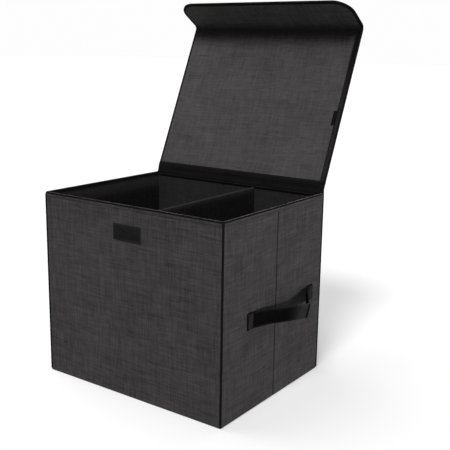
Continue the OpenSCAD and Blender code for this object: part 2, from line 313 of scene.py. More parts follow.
def makePiece(name, points, faces, weave, wearAndPaintedShading, finish, sharp=50):
    mesh = bpy.data.meshes.new(name)
    mesh.from_pydata([Vector(p) * mm for p in points], [], faces)
    shape = bmesh.new()
    shape.from_mesh(mesh)
    bmesh.ops.recalc_face_normals(shape, faces=shape.faces)
    shape.to_mesh(mesh)
    shape.free()
    coords = mesh.attributes.new("weave", "FLOAT_VECTOR", "POINT")
    coords.data.foreach_set("vector", [c * mm for w in weave for c in w])
    wearAndShading = mesh.attributes.new("wearAndPaintedShading", "FLOAT", "POINT")
    wearAndShading.data.foreach_set("value", wearAndPaintedShading)
    mesh.shade_smooth()
    mesh.set_sharp_from_angle(angle=math.radians(sharp))
    piece = bpy.data.objects.new(name, mesh)
    bpy.context.scene.collection.objects.link(piece)
    mesh.materials.append(finishes[finish])
    return piece


def sheetPiece(name, grid, place, front, back, finish, wearAndPaintedShading=None, shift=(0, 0)):
    # grid is rows of (u, v); front and back give how far each face stands out there
    rows, cols = len(grid), len(grid[0])
    points, weave, wearAndShading = [], [], []
    for side in (front, back):
        for row in grid:
            for u, v in row:
                n = side(u, v)
                points.append(place(u, v, n))
                weave.append((u + shift[0], v + shift[1], n))
                wearAndShading.append(wearAndPaintedShading(u, v) if wearAndPaintedShading and side is front else 0)
    faces = []
    size = rows * cols
    for i in range(rows - 1):
        for j in range(cols - 1):
            a, b, c, d = i * cols + j, i * cols + j + 1, (i + 1) * cols + j + 1, (i + 1) * cols + j
            faces += [(a, b, c, d), (a + size, d + size, c + size, b + size)]
    last = size - cols
    border = [*range(cols), *range(2 * cols - 1, size, cols)]
    border += [*range(size - 2, last - 1, -1), *range(last - cols, 0, -cols)]
    for a, b in zip(border, border[1:] + border[:1]):
        faces.append((a, a + size, b + size, b))
    return makePiece(name, points, faces, weave, wearAndShading, finish)


def sweepPiece(name, stations, profile, place, finish, closed=False, wearAndPaintedShading=None, shift=0):
    # profile is a closed outline of (a, n); a station carries its length along the path first
    points, weave, wearAndShading = [], [], []
    around = lengthsAlong(profile)
    for station in stations:
        for k, (a, n) in enumerate(profile):
            points.append(place(station, a, n))
            weave.append((station[0] + shift, around[k], 0))
            wearAndShading.append(wearAndPaintedShading(station, a, n) if wearAndPaintedShading else 0)
    size, count = len(profile), len(stations)
    faces = []
    for i in range(count if closed else count - 1):
        j = (i + 1) % count
        for k in range(size):
            m = (k + 1) % size
            faces.append((i * size + k, i * size + m, j * size + m, j * size + k))
    if not closed:
        faces += [range(size), range((count - 1) * size, count * size)]
    return makePiece(name, points, faces, weave, wearAndShading, finish)


seams = {}  # stitches wait here by group


def stitch(group, line, look):  # line: (point, normal) pairs; one raised stitch every pitch
    dice = random.Random(len(seams.get(group, ([], []))[0]) + 17)
    points, faces = seams.setdefault(group, ([], []))
    spots = [Vector(p) for p, n in line]
    lengths = lengthsAlong(spots)

    def at(distance):
        k, share = spanAt(lengths, distance)
        return spots[k - 1].lerp(spots[k], share), Vector(line[k][1]).normalized()

    count = int(lengths[-1] / look["pitch"])
    gap = lengths[-1] / max(1, count)
    for k in range(count):
        reach = look["long"] / 2 * dice.uniform(0.9, 1.06)
        middle = gap * (k + 0.5) + dice.uniform(-0.08, 0.08)
        if middle - reach < 0 or middle + reach > lengths[-1]:
            continue
        (start, up), (end, upEnd) = at(middle - reach), at(middle + reach)
        along = (end - start).normalized()
        side = along.cross(up).normalized() * look["thick"] / 2
        high = up * look["thick"] * 0.62
        low = up * look["thick"] * 0.35
        first = len(points)
        points += [start - low, end - low]
        for share in (0.22, 0.78):
            middlePoint = start.lerp(end, share)
            points += [middlePoint + high, middlePoint + side, middlePoint - low, middlePoint - side]
        ring = [first + 2, first + 3, first + 4, first + 5]
        for m in range(4):
            a, b = ring[m], ring[(m + 1) % 4]
            faces += [(first, a, b), (a, a + 4, b + 4, b), (first + 1, b + 4, a + 4)]


def makeStitches(group, body, slot):  # all of a group's stitches as one piece
    points, faces = seams[group]
    weave = [(p[0] + p[1], p[2], 0) for p in points]
    piece = makePiece(group + "Stitches", points, faces, weave, [0.4] * len(points), "thread", 80)
    dressed(piece, body, slot)


def facing(turn, out, height=0):  # an upright plane of the case: u sideways, v up, n outwards
    c, s = turned(turn)
    return lambda u, v, n: (c * u + s * (out + n), s * u - c * (out + n), v + height)


def seamLine(pairs):  # (point, normal) pairs, from places on a surface and places above them
    return [(Vector(low), Vector(high) - Vector(low)) for low, high in pairs]


def lineOn(place, marks, n=0):
    return seamLine((place(u, v, n), place(u, v, n + 1)) for u, v in marks)


def dressed(piece, body, slot, *nodes):  # body is one name, or two names with the ends of the bend, which are not used: such a piece is only baked in place
    if isinstance(body, str):
        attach(piece, body)
    else:
        first, second, start, end = body
        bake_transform(piece)
        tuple(start)
        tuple(end)
    if nodes:
        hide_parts(*nodes)


# walls

wallLook = {
    "foot": 0.8, "top": 353.4, "cloth": 0.8, "lowest": -0.62, "step": 8,
    "swell": 0.28, "waves": 0.3, "ripples": 0.14, "cornerGather": 0.16, "hemGather": 0.13,
    "hemLine": 346.4, "hemDip": 0.4, "sideRoll": 0.95, "footRoll": 0.7,
    "creaseDepth": 1.35, "creaseWidth": 1.5, "creaseLip": 0.3,
}
walls = {
    "frontWall": {"node": "front_cover", "turn": 0, "half": 202.2, "out": 164, "folds": False},
    "rightWall": {"node": "right_cover", "turn": 90, "half": 161.2, "out": 205, "folds": True},
    "backWall": {"node": "back_cover", "turn": 180, "half": 202.2, "out": 164, "folds": False},
    "leftWall": {"node": "left_cover", "turn": 270, "half": 161.2, "out": 205, "folds": True},
}


def makeWall(name, wall, seed):
    look, half = wallLook, wall["half"]

    def lift(u, v):
        edge, foot = half - abs(u), v - look["foot"]
        h = look["swell"] + look["waves"] * wobble(u, v, 75, seed) + look["ripples"] * wobble(u, v, 21, seed + 4)
        upSeam = math.sin(v / 1.9 + 2 * wobble(u, v, 40, seed + 8))
        alongHem = math.sin(u / 2.3 + 2 * wobble(u, v, 50, seed + 9))
        h += look["cornerGather"] * fade(edge, 11) * upSeam
        h += look["hemGather"] * fade(abs(v - look["hemLine"]), 9) * alongHem
        h -= look["sideRoll"] * fade(edge, 2.8) + look["footRoll"] * fade(foot, 2.6)
        h -= look["hemDip"] * dent(v - look["hemLine"], 1.1)
        if wall["folds"]:
            h -= (look["creaseDepth"] + h) * dent(u + 0.25 * wobble(0, v, 30, seed), look["creaseWidth"])
            h += look["creaseLip"] * dent(abs(u) - 4.6, 1.9)
        return h

    def front(u, v):
        return lift(u, v) if wall["folds"] and abs(u) < 2.6 else max(look["lowest"], lift(u, v))

    def back(u, v):
        return (min(0, lift(u, v)) if wall["folds"] and abs(u) < 2.4 else 0) - look["cloth"]

    def wearAndPaintedShading(u, v):
        edges = 0.5 * fade(half - abs(u), 5) + 0.42 * fade(v - look["foot"], 6)
        # at a side's fold, painted shade darkens the crease and a painted highlight pales its lips
        return edges + (0.25 * dent(abs(u) - 4.2, 1.6) - 2.6 * dent(u, 1.3) if wall["folds"] else 0)

    us = spread(-half, half, look["step"], (-half, 0, half) if wall["folds"] else (-half, half))
    vs = spread(look["foot"], look["top"], look["step"], (look["foot"], look["hemLine"]))
    piece = sheetPiece(name, crossed(us, vs), facing(wall["turn"], wall["out"]), front, back,
                       "linen", wearAndPaintedShading, (wall["turn"] * 5, 0))
    dressed(piece, "case", "outer_cloth", wall["node"])


for seed, (name, wall) in enumerate(walls.items()):
    makeWall(name, wall, seed * 3 + 1)
print("walls:", ", ".join(walls))


# piping in the upright corners

pipingLook = {
    "x": 203.75, "y": 162.75, "radius": 2.05, "sides": 14, "foot": 0.9, "top": 354.2, "bendIn": 1.1, "wrinkle": 0.16,
}


def makePiping(name, node, sx, sy, seed):
    look, foot, top = pipingLook, pipingLook["foot"], pipingLook["top"]
    stations = [(z,) for z in spread(foot, top, 4.5, (foot, top), (0.5, 1.1, 1.9, 3, 4.5))]
    ring = [turned(360 * k / look["sides"]) for k in range(look["sides"])]

    def place(station, a, n):
        z = station[0]
        inwards = look["bendIn"] * (fade(z - foot, 3) + 0.75 * fade(top - z, 4))
        r = look["radius"] * (1 - 0.35 * fade(z - foot, 1.6) - 0.2 * fade(top - z, 2))
        folds = math.sin(z / 1.35 + math.atan2(n, a) * 1.5 + 3 * wobble(z, 0, 17, seed))
        r += look["wrinkle"] * folds * (0.4 + 0.6 * abs(wobble(z, 3, 26, seed)))
        return (sx * (look["x"] - inwards) + r * a, sy * (look["y"] - inwards) + r * n, z)

    def wearAndPaintedShading(station, a, n):
        return 0.35 * fade(station[0] - 1, 12) + 0.15 * max(0, a * sx - 0.5)

    piece = sweepPiece(name, stations, ring, place, "binding", wearAndPaintedShading=wearAndPaintedShading)
    dressed(piece, "case", "binding", node)


for seed, (end, sy) in enumerate((("front", -1), ("rear", 1))):
    for side, sx in (("left", -1), ("right", 1)):
        makePiping(end + side.capitalize() + "Piping", f"{end}_{side}_piping", sx, sy, seed * 2 + sx)
print("piping: 4 corners")


# rim: the hem of the walls and the tape that binds it

rimLook = {
    "halfX": 205, "halfY": 164, "top": 356, "hem": 9.2, "hemSeam": 1.7,
    "hemCorner": 5.6, "tapeCorner": 3.2, "cornerDip": 1.3,
}


def loopStations(halfX, halfY, corner, step):
    # round a rounded rectangle: length, the centre (x, y) that the edge turns about, and outwards (x, y)
    stations, length = [], 0
    for turn, reach, side in ((0, halfX, halfY), (90, halfY, halfX), (180, halfX, halfY), (270, halfY, halfX)):
        c, s = turned(turn)
        run, out = reach - corner, side - corner
        count = max(2, round(2 * run / step))
        for k in range(count + 1):
            u = -run + 2 * run * k / count
            stations.append((length + u + run, c * u + s * out, s * u - c * out, s, -c))
        length += 2 * run
        for degrees in range(15, 90, 15):
            turnC, turnS = turned(turn + degrees)
            stations.append((length + corner * math.radians(degrees),
                             c * run + s * out, s * run - c * out, turnS, -turnC))
        length += corner * math.pi / 2
    return stations


def onLoop(corner, waves=0.0, seed=0):
    halfX, halfY = rimLook["halfX"], rimLook["halfY"]

    def place(station, a, n):
        length, x, y, nx, ny = station
        radius = max(0.2, corner + a)  # further in than the corner is round it is nearly square
        out = radius + waves * wobble(length, n, 22, seed)
        if abs(nx) > 0.95:  # the fold in each side shows in the hem too
            out -= 0.45 * dent(y, 1.3) * smooth(-1, 0.5, a)
        px = x * (halfX + a - radius) / (halfX - corner) + nx * out
        py = y * (halfY + a - radius) / (halfY - corner) + ny * out
        return (px, py, n - rimLook["cornerDip"] * abs(2 * nx * ny) * smooth(348, 356, n))
    return place


hemStations = loopStations(rimLook["halfX"], rimLook["halfY"], rimLook["hemCorner"], 5)
rimStations = loopStations(rimLook["halfX"], rimLook["halfY"], rimLook["tapeCorner"], 5)
hemFoot = rimLook["top"] - rimLook["hem"]
hemSeam = hemFoot + rimLook["hemSeam"]
hemShape = [(0.15, -0.1), (0.62, 0.15), (0.8, 0.9), (0.5, rimLook["hemSeam"]), (0.82, 2.7), (0.85, 3.6), (0.85, 4.2),
            (1.1, 4.9), (0.7, 5.7), (-0.5, 5.7), (-0.5, 0.4)]  # up from the hem's foot


def hemHighlightAndShade(station, a, n):
    # a painted highlight along the hem's top on the sides facing left and right, and painted shade in the seam groove
    return 1.2 * dent(n - hemFoot - 5.1, 0.9) * station[3] ** 2 - 0.4 * dent(n - hemSeam, 0.8)


rimHem = sweepPiece("rimHem", hemStations, [(a, hemFoot + n) for a, n in hemShape],
                    onLoop(rimLook["hemCorner"], 0.12, 3), "linen", True, hemHighlightAndShade, 900)
dressed(rimHem, "case", "outer_cloth")
tapeOutline = [(0.95, 352.3), (1.15, 352.8), (1.05, 353.9), (0.6, 354.8), (-0.2, 355.4), (-2.2, 355.62),
               (-4.4, 355.5), (-5.1, 354.9), (-5.3, 353), (-5.3, 350), (-5.15, 348.2), (-5.3, 347.3),
               (-4.9, 346.9), (-4.6, 348), (-4.6, 354.1), (-2.2, 354.8), (-0.2, 354.5), (0.3, 353.6), (0.5, 352.5)]
# the tape's top on the left and right sides is painted paler, a painted highlight
rimTape = sweepPiece("rimTape", rimStations, tapeOutline, onLoop(rimLook["tapeCorner"], 0.14, 5), "binding", True,
                     lambda s, a, n: 0.3 * s[3] ** 2 * dent(n - 355.4, 0.5) * smooth(-3, 0.5, a))
dressed(rimTape, "case", "binding", "rim_binding")


def rimSeam(corner, stations, a, n, sign):
    onRim = onLoop(corner)
    return [(onRim(s, a, n), Vector((s[3], s[4], 0)) * sign) for s in stations + stations[:1]]


caseThread = {"pitch": 3.6, "long": 2.7, "thick": 0.55}
stitch("case", rimSeam(rimLook["hemCorner"], hemStations, 0.5, hemSeam, 1), caseThread)
stitch("case", rimSeam(rimLook["tapeCorner"], rimStations, -5.2, 348.4, -1), caseThread)
print("rim: hem and tape")


# base cloth and lining

baseLook = {"halfX": 204.4, "halfY": 163.4, "inner": 0.86, "roll": 0.42, "swell": 0.12, "hem": 14}
baseUs, baseVs = [edgeToEdge(baseLook[half], 16, (0.5, 1.4, 4)) for half in ("halfX", "halfY")]


def flat(u, v, n):
    return (u, v, n)


def rimDistance(u, v, halfU, halfV):
    return min(halfU - abs(u), halfV - abs(v))


def baseEdge(u, v):
    return rimDistance(u, v, baseLook["halfX"], baseLook["halfY"])


def baseUnder(u, v):
    edge = baseEdge(u, v)
    return baseLook["roll"] * fade(edge, 1.4) + baseLook["swell"] * smooth(0, baseLook["hem"], edge)


baseCloth = sheetPiece("baseCloth", crossed(baseUs, baseVs), flat, baseUnder, lambda u, v: baseLook["inner"],
                       "linen", lambda u, v: 0.6 * fade(baseEdge(u, v), 8), (300, 700))
dressed(baseCloth, "case", "outer_cloth", "base_cover")

liningLook = {
    "halfX": 201.2, "halfY": 160.2, "foot": 0.9, "top": 355, "corner": 3, "cloth": 0.55, "slack": 0.3,
    "tuck": 0.3, "floorTop": 1.25, "floorFoot": 0.82,
}
liningStations = loopStations(liningLook["halfX"], liningLook["halfY"], liningLook["corner"], 11)
liningHeights = spread(liningLook["foot"], liningLook["top"], 16, (liningLook["foot"],), (0.8, 2.5, 6))
liningOutline = [(-0.02, z) for z in liningHeights] + [(-liningLook["cloth"], z) for z in reversed(liningHeights)]


def onLining(station, a, n):
    length, x, y, nx, ny = station
    inside = a < -0.1
    slack = liningLook["slack"] * (0.5 + wobble(length, n, 48, 21)) * smooth(0, 20, n) if inside else 0
    crease = 0.9 * dent(y, 2) * abs(nx) if inside and abs(nx) > 0.9 else 0
    out = liningLook["corner"] + a - slack * 0.9 + crease * 0.4
    return (x + nx * out, y + ny * out, n)


liningWalls = sweepPiece("liningWalls", liningStations, liningOutline, onLining, "lining", True)
dressed(liningWalls, "case", "inner_cloth", "lining")
floorUs, floorVs = [spread(-half, half, 20) for half in (liningLook["halfX"] - liningLook["tuck"],
                                                         liningLook["halfY"] - liningLook["tuck"])]
liningFloor = sheetPiece("liningFloor", crossed(floorUs, floorVs), flat,
                         lambda u, v: liningLook["floorTop"] + 0.12 * wobble(u, v, 60, 31),
                         lambda u, v: liningLook["floorFoot"], "lining", None, (800, 300))
dressed(liningFloor, "case", "inner_cloth")
print("base cloth and lining")


# loose base board and divider, each wrapped in cloth

wrapLook = {"halfX": 199.6, "halfY": 158.6, "foot": 1.62, "top": 5.72, "round": 1.7, "turnUnder": 22, "seamIn": 6}
boardThread = {"pitch": 4.2, "long": 3, "thick": 0.45}


def roundOff(distance, radius):  # how far a face drops towards its rounded edge
    if distance >= radius:
        return 0
    return radius - math.sqrt(max(0, radius ** 2 - (radius - distance) ** 2))


def makeBaseBoard():
    look = wrapLook
    us, vs = [edgeToEdge(look[half], 12, (0.25, 0.7, 1.3, 2.1, 5)) for half in ("halfX", "halfY")]

    def edge(u, v):
        return rimDistance(u, v, look["halfX"], look["halfY"])

    def top(u, v):
        return look["top"] + 0.12 * wobble(u, v, 55, 41) - roundOff(edge(u, v), look["round"])

    def under(u, v):  # the cloth turned under stands a little lower than the bare board
        bare = smooth(look["turnUnder"] - 1, look["turnUnder"] + 1, edge(u, v))
        return look["foot"] + 0.4 * bare + roundOff(edge(u, v), look["round"])

    piece = sheetPiece("baseBoardWrap", crossed(us, vs), flat, top, under, "lining",
                       lambda u, v: 0.8 * fade(edge(u, v), 4), (0, 1500))
    for side in boxSides(look["halfX"] - look["seamIn"], look["halfY"] - look["seamIn"]):
        stitch("baseBoard", lineOn(flat, side, look["top"]), boardThread)
    dressed(piece, "base_panel", "inner_cloth", "base_board_cover")


makeBaseBoard()
makeStitches("baseBoard", "base_panel", "inner_cloth")

dividerLook = {"x": 47.5, "halfY": 158.6, "foot": 6.05, "top": 349, "half": 2.1, "seamIn": 6}


def makeDivider():
    look = dividerLook
    middle = (look["foot"] + look["top"]) / 2
    halfZ = look["top"] - middle
    fine = (0.2, 0.6, 1.2, 2.1, 5)
    us = edgeToEdge(look["halfY"], 11, fine)
    vs = spread(look["foot"], look["top"], 11, (look["foot"], look["top"]), fine)

    def onDivider(u, v, n):
        return (look["x"] + n, u, v)

    def face(u, v, seed):
        edge = rimDistance(u, v - middle, look["halfY"], halfZ)
        h = look["half"] + 0.14 * wobble(u, v, 60, seed) - 0.12 * dent(edge - look["seamIn"], 0.8)
        return h - roundOff(edge, 1.9)

    piece = sheetPiece("dividerSleeve", crossed(us, vs), onDivider,
                       lambda u, v: face(u, v, 51), lambda u, v: -face(u, v, 57), "lining",
                       lambda u, v: 0.9 * fade(look["top"] - v, 4), (700, 1900))
    y, low, high = look["halfY"] - look["seamIn"], look["foot"] + look["seamIn"], look["top"] - look["seamIn"]
    for side in (1, -1):
        for ends in (((-y, low), (-y, high)), ((-y, high), (y, high)), ((y, high), (y, low))):
            line = lineOn(onDivider, ends, side * (look["half"] - 0.1))
            stitch("divider", [(p, n * side) for p, n in line], boardThread)
    dressed(piece, "divider", "inner_cloth", "divider_cover")


makeDivider()
makeStitches("divider", "divider", "inner_cloth")
print("base board and divider")


# closure patches

patchLook = {
    "wide": 65, "high": 30, "corner": 2.5, "edge": 2.3, "second": 4.3, "frontHeight": 306, "pastCrease": 50.8,
}
patchThread = {"pitch": 2.9, "long": 2.2, "thick": 0.5}


def patchGrid(wide, high, corner, step):
    us, vs = [edgeToEdge(size / 2, step, (0.15, 0.4, 0.8, 1.4, 2.2)) for size in (wide, high)]
    grid = []
    for v in vs:
        over = max(0, abs(v) - (high / 2 - corner))
        share = 1 - (corner - math.sqrt(max(0, corner ** 2 - over ** 2))) / (wide / 2)
        grid.append([(u * share, v) for u in us])
    return grid


def makePatch(name, place, thick, body, node, finish, seed):
    look = patchLook
    halfU, halfV = look["wide"] / 2, look["high"] / 2

    def pile(u, v):
        edge = rimDistance(u, v, halfU, halfV)
        h = thick - roundOff(edge, 1.1) + 0.16 * wobble(u, v, 1.7, seed) * smooth(0.5, 2, edge)
        h += 0.22 * smooth(look["second"], look["second"] + 2.5, edge) + 0.12 * wobble(u, v, 11, seed + 1)
        return h - 0.4 * dent(edge - look["edge"], 0.5) - 0.3 * dent(edge - look["second"], 0.5)

    piece = sheetPiece(name, patchGrid(look["wide"], look["high"], look["corner"], 1.15), place, pile,
                       lambda u, v: -0.25, finish,
                       lambda u, v: 0.8 * fade(rimDistance(u, v, halfU, halfV), 1.6), (seed * 90, 0))
    for inset in (look["edge"], look["second"]):
        for start, end in boxSides(halfU - inset, halfV - inset):
            stitch(body, lineOn(place, marksBetween(start, end, 8), thick - 0.3), patchThread)
    dressed(piece, body, "closure", node)


onFront = facing(0, walls["frontWall"]["out"], patchLook["frontHeight"])
makePatch("frontPatch", onFront, 1.35, "case", "front_closure_patch", "pile", 3)
print("front patch")


# lid and flap: one run of cloth over both boards

lidLook = {
    "hingeY": 164, "hingeZ": 361.2, "thick": 4.4, "long": 331.3, "lean": 24, "bend": 82, "softBend": 7,
    "flap": 82, "corner": 38, "half": 204.5, "start": 6, "edgeTape": 10.5, "narrowTape": 4.4, "band": 15.5,
}
leanC, leanS = turned(lidLook["lean"])
bend = math.radians(lidLook["bend"])
bendRadius = lidLook["softBend"] / math.tan(bend / 2)
flapEnd = lidLook["long"] + lidLook["flap"]


def onLid(x, s, n):  # s runs up the inner face and on over the crease, n is 0 on the inner face
    look, past = lidLook, s - lidLook["long"]
    soft = look["softBend"]
    if past <= -soft:
        p, q = s, n
    elif past >= soft:
        p = look["long"] + past * math.cos(bend) + n * math.sin(bend)
        q = n * math.cos(bend) - past * math.sin(bend)
    else:
        angle = (past + soft) / (2 * soft) * bend
        p = look["long"] - soft + (bendRadius + n) * math.sin(angle)
        q = (bendRadius + n) * math.cos(angle) - bendRadius
    q -= look["thick"]
    return (x, look["hingeY"] + leanS * p + leanC * q, look["hingeZ"] + leanC * p - leanS * q)


rollX, rollY, rollZ = onLid(0, lidLook["long"] - lidLook["softBend"], 0)
creaseMid = Vector((0, rollY + leanS * lidLook["softBend"], rollZ + leanC * lidLook["softBend"])) * mm
halfwayC, halfwayS = turned(lidLook["lean"] + 90 - lidLook["bend"] / 2)
creaseDir = Vector((0, -halfwayC, halfwayS))
creaseReach = lidLook["softBend"] * math.cos(bend / 2) * mm
overCrease = ("lid", "flap", creaseMid - creaseDir * creaseReach, creaseMid + creaseDir * creaseReach)


def flapReach(x, inset=0):  # how far the flap goes at x, round its corners
    corner = lidLook["corner"] - inset
    over = max(0, abs(x) - (lidLook["half"] - lidLook["corner"]))
    return flapEnd - inset - corner + math.sqrt(max(0, corner ** 2 - min(over, corner) ** 2))


def lidMarks(start, step):  # up the lid and over the crease
    soft, end = lidLook["softBend"], lidLook["long"]
    return spread(start, end - soft - 1, step) + [end - soft + 2 * soft * k / 12 for k in range(13)]


def lidGrid(start, inset, step):
    corner, straight = lidLook["corner"] - inset, lidLook["half"] - lidLook["corner"]
    bends = [straight + corner * turned(degrees)[1] for degrees in (*range(9, 73, 9), 80, 86, 90)]
    xs = [-x for x in reversed(bends)] + spread(-straight, straight, step) + bends
    rows = crossed(xs, lidMarks(start, step))
    flapStart = lidLook["long"] + lidLook["softBend"]
    for k in range(1, 10):
        rows.append([(x, flapStart + k / 9 * (flapReach(x, inset) - flapStart)) for x in xs])
    return rows


def clothWaves(x, s, seed, size):
    near = fade(abs(s - lidLook["long"]), 26)
    h = 0.3 * wobble(x, s, 80, seed) + 0.12 * wobble(x, s, 22, seed + 3)
    return h * size + 0.35 * near * wobble(x, s * 0.4, 26, seed + 6)  # cloth gathers a little along the crease


def edgeFade(x, s):
    return smooth(0, 6, min(lidLook["half"] - abs(x), flapReach(x) - s))


outerCloth = sheetPiece("lidOuterCloth", lidGrid(lidLook["start"], 0.6, 8), onLid,
                        lambda x, s: 4.42 + (0.14 + clothWaves(x, s, 61, 0.8)) * edgeFade(x, s),
                        lambda x, s: 3.62, "linen",
                        lambda x, s: 0.5 * dent(s - lidLook["long"], 5), (2500, 0))
dressed(outerCloth, overCrease, "outer_cloth", "lid_cover", "flap_cover", "flap_crease_cloth")
# the inner face is painted lighter all over, painted light, and darker along the crease, painted shade
innerCloth = sheetPiece("lidInnerCloth", lidGrid(lidLook["start"], 0.6, 8), onLid,
                        lambda x, s: -0.05 - (0.1 + clothWaves(x, s, 71, 0.7)) * edgeFade(x, s),
                        lambda x, s: 0.58, "linen",
                        lambda x, s: 0.48 - 1.55 * dent(s - lidLook["long"] + lidLook["softBend"], 17), (3500, 0))
dressed(innerCloth, overCrease, "outer_cloth", "lid_lining", "flap_lining")
print("lid and flap cloth, crease radius", round(bendRadius, 1))


# binding round the lid and flap

def bindingStations(start, step):
    # up the left, round and down the right: length, the centre (x, s) of the turn, and outwards (x, s)
    corner = lidLook["corner"]
    inner, run = lidLook["half"] - corner, flapEnd - corner
    marks = lidMarks(start, step) + spread(lidLook["long"] + lidLook["softBend"] + 3, run, 6)
    left = [(s - start, -inner, s, -1, 0) for s in marks]
    length = run - start
    for degrees in range(6, 90, 6):
        c, s = turned(degrees)
        left.append((length + corner * math.radians(degrees), -inner, run, -c, s))
    length += corner * math.pi / 2
    top = [(length + x + inner, x, run, 0, 1) for x in spread(-inner, inner, step)]
    total = 2 * (length + inner)
    return left + top + [(total - far, -x, s, -nx, ns) for far, x, s, nx, ns in reversed(left)]


def tapeShare(station):  # 1 where the tape is wide, on the right of the lid, and 0 where it is narrow
    length, x, s, nx, ns = station
    return smooth(0.2, 0.9, nx) * (1 - smooth(lidLook["long"] - 22, lidLook["long"] - 2, s))


def onEdge(station, a, n):
    length, x, s, nx, ns = station
    wide = lidLook["narrowTape"] + (lidLook["edgeTape"] - lidLook["narrowTape"]) * tapeShare(station)
    if a < -1.2:
        a = -1.2 + (a + 1.2) * (wide - 1.2) / (lidLook["edgeTape"] - 1.2)
    out = lidLook["corner"] + a + 0.1 * wobble(length, a, 13, 81)
    return onLid(x + nx * out, s + ns * out, n + 0.07 * wobble(length, a + n, 9, 83))


leg = lidLook["edgeTape"]
edgeSeam = -leg + 1.5
bindingOutline = [(-leg, 0.1), (-leg - 0.05, -0.42), (-leg + 0.7, -0.55), (edgeSeam, -0.22), (-leg + 2.3, -0.55),
                  (-5.5, -0.68), (-3, -0.62), (-1.2, -0.5), (-0.1, -0.2), (0.45, 0.5), (0.62, 1.4), (0.62, 3),
                  (0.45, 3.9), (-0.1, 4.6), (-1.2, 4.95), (-3, 5.05), (-5.5, 5.08), (-leg + 2.3, 4.98),
                  (edgeSeam, 4.66), (-leg + 0.7, 4.98), (-leg - 0.05, 4.85), (-leg, 4.3), (-2, 4.2),
                  (-0.4, 3.6), (-0.4, 0.8), (-2, 0.2)]
edgeStations = bindingStations(lidLook["start"] - 2.5, 5)


def bindingPaintedHighlight(station, a, n):
    # on the wide right tape, low on the lid, the middle of the inner leg is painted paler: a painted highlight
    paintedHighlight = 0.55 * tapeShare(station) * (1 - smooth(130, 300, station[2]))
    return paintedHighlight * smooth(-leg + 1.4, -leg + 2.6, a) * (1 - smooth(-3.2, -0.4, a)) * (n < 0)


edgeBinding = sweepPiece("edgeBinding", edgeStations, bindingOutline, onEdge, "binding", wearAndPaintedShading=bindingPaintedHighlight)
dressed(edgeBinding, overCrease, "binding", "lid_binding", "flap_binding")
edgeThread = {"pitch": 3.6, "long": 2.7, "thick": 0.5}
for n, sign in ((-0.3, -1), (4.72, 1)):
    places = ((onEdge(s, edgeSeam, n), onEdge(s, edgeSeam, n + sign)) for s in edgeStations)
    stitch("edge", seamLine(places), edgeThread)
makeStitches("edge", overCrease, "binding")
print("binding:", len(edgeStations), "stations")


def onFlap(u, v, n):  # the flap's inner face, n into the room under it
    return onLid(u, lidLook["long"] + patchLook["pastCrease"] + v, -n)


makePatch("flapPatch", onFlap, 1.15, "flap", "flap_closure_patch", "hooks", 5)
makeStitches("flap", "flap", "closure")


# hinge: an outer strip and the dark band inside

hingeLook = {"half": 204.2, "outerEnd": 17, "cloth": 0.6}


def curveThrough(points, count):  # evenly spaced places on a smooth line through points
    fine = []
    for k in range(len(points) - 1):
        p0, p1 = points[max(0, k - 1)], points[k]
        p2, p3 = points[k + 1], points[min(len(points) - 1, k + 2)]
        for m in range(12):
            t = m / 12
            fine.append([0.5 * (2 * b + (c - a) * t + (2 * a - 5 * b + 4 * c - d) * t ** 2
                                + (3 * b - a - 3 * c + d) * t ** 3) for a, b, c, d in zip(p0, p1, p2, p3)])
    fine.append(list(points[-1]))
    lengths = lengthsAlong(fine)
    marks = []
    for k in range(count + 1):
        goal = lengths[-1] * k / count
        m, t = spanAt(lengths, goal)
        here = [a + (b - a) * t for a, b in zip(fine[m - 1], fine[m])]
        way = [b - a for a, b in zip(fine[m - 1], fine[m])]
        size = math.hypot(*way)
        marks.append((goal, here, [w / size for w in way]))
    return marks


def lidSpot(s, n):
    return onLid(0, s, n)[1:]


outerLine = curveThrough([(165.15, 348.6), (165.3, 352), (165.3, 356), (165.2, 359.6), (165.6, 363),
                          lidSpot(6, 4.9), lidSpot(11, 5.0), lidSpot(hingeLook["outerEnd"], 5.0)], 22)
innerLine = curveThrough([(158.45, 348.8), (158.4, 352.5), (158.9, 356.4), (160.3, 359.8), (161.4, 363.8),
                          lidSpot(6, -0.35), lidSpot(10, -0.4), lidSpot(lidLook["band"], -0.35)], 22)
overHinge = ("case", "lid", (0, 0.164, 0.3568), (0, 0.1655, 0.367))


def makeHinge(name, line, sign, finish, slot, seed, *nodes):
    xs = edgeToEdge(hingeLook["half"], 8, (0.4, 1.5, 4))
    marks = {length: (*here, *way) for length, here, way in line}

    def place(x, length, n):
        y, z, dy, dz = marks[length]
        return (x, y + sign * dz * n, z - sign * dy * n)

    def front(x, length):
        ends = min(length, line[-1][0] - length)
        slack = 0.1 + 0.22 * dent(length - 11, 5)
        return hingeLook["cloth"] - 0.35 * fade(ends, 0.9) + slack * wobble(x, length * 1.6, 17, seed)

    piece = sheetPiece(name, crossed(xs, marks), place, front, lambda x, length: 0.02, finish)
    for row in (2, len(line) - 3):
        stitch("hinge", lineOn(place, [(x, line[row][0]) for x in xs], hingeLook["cloth"] * 0.95), caseThread)
    dressed(piece, overHinge, slot, *nodes)


makeHinge("hingeOuter", outerLine, 1, "linen", "outer_cloth", 1, "lid_hinge_cloth")
makeHinge("hingeBand", innerLine, -1, "binding", "binding", 2)
makeStitches("hinge", overHinge, "binding")
print("hinge strips")


# small bare tag beside the right binding

tagLook = {"x": 192, "low": 127, "high": 157, "wide": 8.2, "thick": 0.5}


